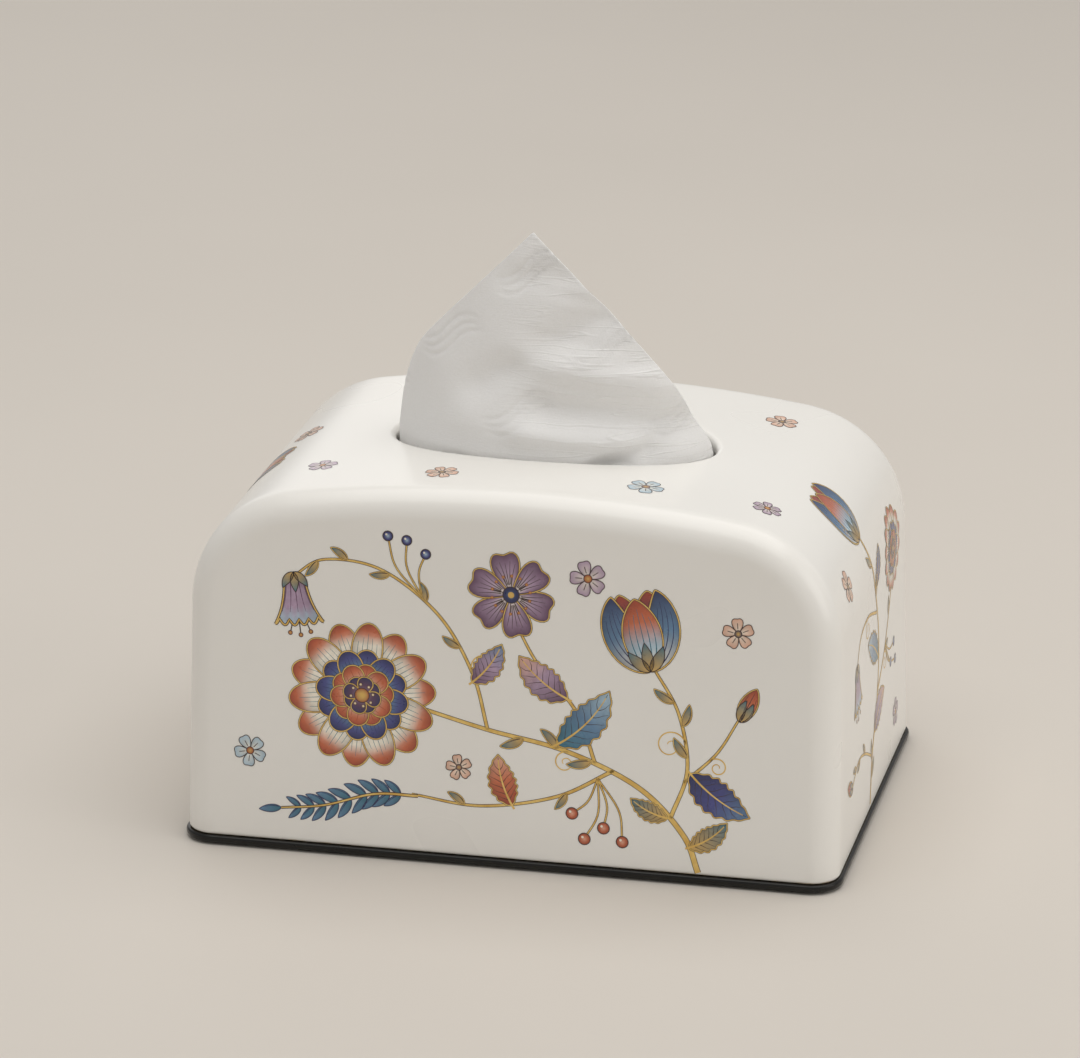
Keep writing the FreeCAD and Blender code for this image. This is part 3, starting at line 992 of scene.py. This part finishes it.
def crease(u, z, start, end, wide, high):
    """A soft fold of a sheet along a straight line: a bell across it that dies away past both ends."""
    start, end = np.array(start), np.array(end)
    way = end - start
    length = np.linalg.norm(way)
    along = ((u - start[0]) * way[0] + (z - start[1]) * way[1]) / length
    across = ((z - start[1]) * way[0] - (u - start[0]) * way[1]) / length
    past = np.clip(-along, 0, None) + np.clip(along - length, 0, None)
    return high * np.exp(-((across / wide) ** 2) - (past / (wide * 1.5)) ** 2)


def embossed(s, z):
    """A pressed pattern in staggered rows: three short wavy lines that near each other towards their ends.

    s is the way along the sheet from below its corner, to the right.
    """
    turn, pitch, row_gap, foot = math.radians(20), 50.0, 21.4, 133.0
    row = np.round((z - foot) / row_gap)
    s = s + 1 + 0.5 * pitch * row
    s = s - np.round(s / pitch) * pitch
    z = z - foot - row_gap * row
    a = s * math.cos(turn) + z * math.sin(turn)
    b = z * math.cos(turn) - s * math.sin(turn)
    wave = 2.2 * np.sin(a / 12 * np.pi)
    reach = np.clip((12.5 - np.abs(a)) / 3, 0, 1)
    near = 1 - 0.45 * (a / 12.5) ** 2
    lines = sum(np.exp(-(((b - wave - gap * near) / 0.6) ** 2)) for gap in (-3.0, 0.0, 3.0))
    return -0.42 * lines * reach


def raised_sheet():
    """The tissue that stands in the opening, corner up.

    Lines run up an oval tube that narrows above the crown, each from the lower edge to the free edge. Soft
    folds, fine crinkles and the pressed pattern move them along the oval's normal, and the left end curls in.
    The folds begin at the crown, where the opening lets the sheet go.
    """
    flap, front, back = np.linspace(-60, 0, 16), np.linspace(0, 180, 200), np.linspace(180, 287.4, 30)
    angle = np.radians(np.concatenate([flap[:-1], front[:-1], back]))
    around = np.stack([np.cos(angle), np.sin(angle)])
    step = np.hypot(*np.diff(EDGE_OVAL[:, None] * around, axis=1))
    run = np.concatenate([[0], np.cumsum(step)])
    low, high = lower_edge(angle), free_edge(angle, run)
    z = low + (high - low) * np.linspace(0, 1, 180)[:, None]
    rise = np.clip((z - CROWN_Z) / (APEX[1] - CROWN_Z), 0, 1)
    long = TUBE[0] + (TUBE_TOP[0] - TUBE[0]) * rise
    wide = TUBE[1] + (TUBE_TOP[1] - TUBE[1]) * rise
    x, y = long * np.cos(angle), -wide * np.sin(angle)
    nx, ny = np.cos(angle) / long, -np.sin(angle) / wide
    size = np.hypot(nx, ny)
    facing = np.clip(np.sin(angle), 0, 1) ** 0.5
    above = (z - CROWN_Z) / FADE
    fold = sum(crease(x, z, start, end, across, deep) for start, end, across, deep in FOLDS)
    bump = fold * facing * np.where(fold > 0, np.clip(above, 0, 1), np.clip(above + 1.5, 0, 1))
    crinkle = np.sin(0.95 * z + 2.2 * np.sin(0.09 * x)) * np.sin(0.07 * x + 0.21 * z) ** 2
    bump += 0.22 * crinkle * np.clip((x + 8) / 20, 0, 1) * facing * np.clip(above, 0, 1)
    corner = np.interp(np.arccos(APEX[0] / EDGE_OVAL[0]), angle, run)
    bump += embossed(corner - run, z) * facing * np.clip(above + 1, 0, 1)
    curl = 3.0 * np.exp((z - high) / 5.0) * np.clip(-np.cos(angle), 0, 1) ** 6
    grid = np.stack([x + bump * nx / size + curl, y + bump * ny / size, z], -1)
    flat = np.stack([run + 0 * z, z], -1)
    thing = sheet_piece("drawn_tissue", grid, flat, "raised_tissue", "tissue", 0.25)


def folded_sheet():
    """The next tissue, folded in two on the pile with its middle drawn up a little.

    One line across it runs under, round the front fold and back over with a narrow crest, and is carried
    along the pile. The crest is highest under the opening and falls away to both sides of it.
    """
    low, top, half, crest, count = 41.12, 41.68, 34.3, 2.2, 14
    x = np.linspace(-PACK_HALF_LENGTH, PACK_HALF_LENGTH, 92)[None, :]
    high = 24 * np.clip((31 - np.abs(x)) / 13, 0, 1) * (1 + 0.04 * np.sin(x / 3.1))
    turn = np.linspace(-np.pi / 2, np.pi / 2, 7)[1:-1]
    radius, middle = (top - low) / 2, (top + low) / 2
    climb = np.linspace(0, 1, count)
    under = np.linspace(half, -half, count)
    fold = -half - radius * np.cos(turn)
    before = np.linspace(-half, -crest, 12)
    up = -crest + 1.75 * climb**0.5
    down = crest - 1.75 * climb[::-1] ** 0.5
    behind = np.linspace(crest, half, 12)[1:]
    y = np.concatenate([under, fold, before, up, down, behind])[:, None]
    level = np.full(len(y), top)
    level[:count] = low
    level[count:count + len(turn)] = middle + radius * np.sin(turn)
    lift = np.zeros(len(y))
    start = count + len(turn) + len(before)
    lift[start:start + 2 * count] = np.concatenate([climb, climb[::-1]])
    lift = lift[:, None]
    z = level[:, None] + lift * high
    grid = np.stack(np.broadcast_arrays(x, y + 0.8 * lift * np.sin(x / 9.0), z), -1)
    centre = z.shape[1] // 2
    run = np.concatenate([[0], np.cumsum(np.hypot(np.diff(y[:, 0]), np.diff(z[:, centre])))])
    flat = np.stack(np.broadcast_arrays(x, run[:, None]), -1)
    thing = sheet_piece("next_folded_tissue", grid, flat, "next_tissue", "base", 0.2)


def tissue_pile():
    """The pile of folded tissues.

    Its outline across has a half-round fold for each tissue at both long sides, where each layer slips a
    little, and is carried along the pile. Both ends are grids of the same layers, with grooves between them.
    """
    layers, half, low, top, bulge, inner_points = 26, 36.6, 3.0, STACK_TOP, 0.9, 10
    turn = np.linspace(-np.pi / 2, np.pi / 2, 7)
    slip = np.random.default_rng(4).uniform(-0.7, 0.0, (2, layers))
    reach = half + slip[:, :, None] + bulge * (np.cos(turn) - 1)
    level = np.arange(layers)[:, None] + 0.5 + 0.5 * np.sin(turn)
    z = (low + (top - low) / layers * level).ravel()
    right = np.stack([reach[0].ravel(), z], 1)
    left = np.stack([-reach[1].ravel(), z], 1)[::-1]
    across = np.linspace(-1, 1, inner_points + 2)[-2:0:-1] * (half - 2)
    cap = np.stack([across, np.full(inner_points, top)], 1)
    base = np.stack([-across, np.full(inner_points, low)], 1)
    line = np.concatenate([right, cap, left, base, right[:1]])
    x = np.linspace(-PACK_HALF_LENGTH, PACK_HALF_LENGTH, 64)[:, None]
    y = line[:, 0] + 0.12 * np.sin(x / 7 + line[:, 1] * 1.7) * np.sign(line[:, 0])
    side = np.stack(np.broadcast_arrays(x, y, line[:, 1]), -1)
    count = len(z)
    share = ((z - low) / (top - low))[:, None, None]
    groove = np.tile(0.5 * (1 - np.cos(turn)), layers)[:, None]
    groove[[0, -1]] = 0
    grids = [(side, None)]
    for row, inward in ((side[0], 1), (side[-1], -1)):
        starts = np.cumsum([count, inner_points, count])
        right_edge, cap_line, left_edge, base_line = np.split(row[:-1], starts)
        inner = base_line[::-1] + (cap_line - base_line[::-1]) * share
        inner[..., 0] += inward * groove
        grids.append((np.concatenate([right_edge[:, None], inner, left_edge[::-1, None]], 1), None))
    points, faces = welded(grids)
    thing = piece("folded_pile", points, faces, paper, "base", outward=True)
    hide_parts("tissue_stack")
    thing.data.set_sharp_from_angle(angle=math.radians(50))
    lay_flat(thing, np.stack([points[:, 0] + points[:, 1], points[:, 2]], 1))


# Pieces

points, faces = cover_mesh()
cover = piece("glazed_cover", points, faces, glaze, "cover", outward=True)
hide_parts("cover_shell")
print_on("front", front_spray(), partial(on_face, face=-1))
print_on("back", front_spray(), partial(on_face, face=1))
print_on("right", placed(side_spray(), 0, 0, np.pi, flip=True), partial(on_side, hand=1))
print_on("left", side_spray(), partial(on_side, hand=-1))
print_on("top", top_scatter(), on_top)
tissue_pile()
folded_sheet()
raised_sheet()
for name, finish in (("base_plate", gloss_black), ("foot_front_left", rubber), ("foot_front_right", rubber),
                     ("foot_back_left", rubber), ("foot_back_right", rubber)):
    nodes[name].data.materials.clear()
    nodes[name].data.materials.append(finish)


# Floor, light and camera

LAMP_AIM = (0, 0, 0.1)


def set_stage():
    """A pale floor under the feet."""
    mesh = bpy.data.meshes.new("floor")
    mesh.from_pydata([(-4, -4, 0), (4, -4, 0), (4, 6, 0), (-4, 6, 0)], [], [(0, 1, 2, 3)])
    material, tree, shader = new_material("floor_paint", Roughness=0.75)
    toned(tree, shader, (3.0,), tint(214, 207, 198), tint(218, 211, 202))
    mesh.materials.append(material)
    floor = bpy.data.objects.new("floor", mesh)
    floor.location.z = -0.0001
    scene.collection.objects.link(floor)


def lamp(name, place, size, power, colour):
    """A soft square lamp that looks from its place at the middle of the cover."""
    light = bpy.data.lights.new(name, "AREA")
    light.size, light.energy, light.color = size, power, colour
    thing = bpy.data.objects.new(name, light)
    thing.location = place
    thing.rotation_euler = (Vector(place) - Vector(LAMP_AIM)).to_track_quat("Z", "Y").to_euler()
    scene.collection.objects.link(thing)


def set_lights():
    """A broad lamp overhead, a weak one to the right, a weaker one behind, and an even surround."""
    lamp("key", (0.15, 0.0, 1.5), 1.7, 14.5, (1.0, 0.985, 0.96))
    lamp("right_fill", (1.9, -0.35, 0.8), 1.2, 5.5, (1.0, 0.98, 0.95))
    lamp("back_fill", (-0.9, 1.7, 0.9), 1.2, 2.5, (1.0, 0.98, 0.95))
    scene.world = scene.world or bpy.data.worlds.new("world")
    scene.world.use_nodes = True
    back = scene.world.node_tree.nodes["Background"]
    back.inputs["Color"].default_value = (1.0, 0.985, 0.965, 1)
    back.inputs["Strength"].default_value = 0.42


def set_camera():
    """The photograph's view: a long lens, low and a little to the right of the front."""
    azimuth, elevation, distance = math.radians(12.53), math.radians(19.07), 1.8029
    aim = Vector((-0.00516, 0, 0.08672))
    level = math.cos(elevation)
    away = Vector((math.sin(azimuth) * level, -math.cos(azimuth) * level, math.sin(elevation)))
    lens = bpy.data.cameras.new("camera")
    lens.sensor_width, lens.lens = 36, 188.93
    lens.sensor_fit = "HORIZONTAL"
    lens.clip_start, lens.clip_end = 0.05, 50
    view = bpy.data.objects.new("camera", lens)
    view.location = aim + away * distance
    view.rotation_euler = away.to_track_quat("Z", "Y").to_euler()
    scene.collection.objects.link(view)
    scene.camera = view


set_stage()
set_lights()
set_camera()
scene.view_settings.view_transform = "Standard"
